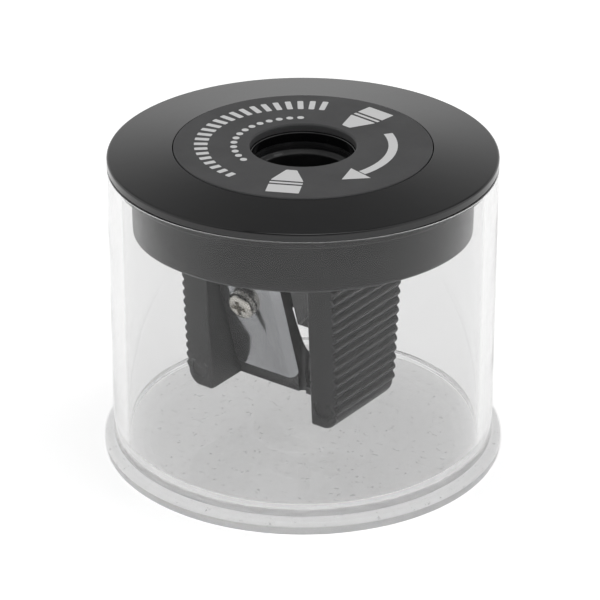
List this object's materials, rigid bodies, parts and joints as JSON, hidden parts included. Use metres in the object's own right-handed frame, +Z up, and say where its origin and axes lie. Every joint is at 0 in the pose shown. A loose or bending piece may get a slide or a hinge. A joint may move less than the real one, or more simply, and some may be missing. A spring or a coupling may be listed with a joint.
{
  "type": "pencil sharpener",
  "caption": "Container sharpener for thick crayons: clear round cup, black plug-in lid with a guide hole, and a ribbed wedge body with a screwed steel blade.",
  "frame": {"origin": "centre of the cup's underside, on the surface it stands on", "axes": "+Z up along the cup's and the crayon's axis, -Y towards the side the blade faces, +X to the right of the cutting edge seen from that side"},
  "size_m": [0.0578, 0.0578, 0.0463],
  "materials": {
    "clear_plastic": "clear, polished, moulded polystyrene",
    "gloss_black_plastic": "high gloss black, moulded",
    "matte_grey_plastic": "fine matt texture with pale printed marks",
    "matte_black_plastic": "satin black, moulded, ribbed grips",
    "blade_steel": "ground and polished carbon steel",
    "screw_steel": "nickel plated steel"
  },
  "bodies": {
    "container": {"container": "clear_plastic"},
    "lid_unit": {"lid": "gloss_black_plastic", "centre_disc": "matte_grey_plastic", "sharpener_body": "matte_black_plastic", "blade": "blade_steel"},
    "screw": {"blade_screw": "screw_steel"}
  },
  "joints": [
    {"name": "lid_lift", "type": "slide", "parent": "container", "child": "lid_unit", "axis": [0, 0, 1], "range_m": [0, 0.038]},
    {"name": "screw_turn", "type": "hinge", "parent": "lid_unit", "child": "screw", "pos_m": [-0.0066, -0.00442, 0.02253], "axis": [0, -0.9573, -0.289], "continuous": true}
  ]
}
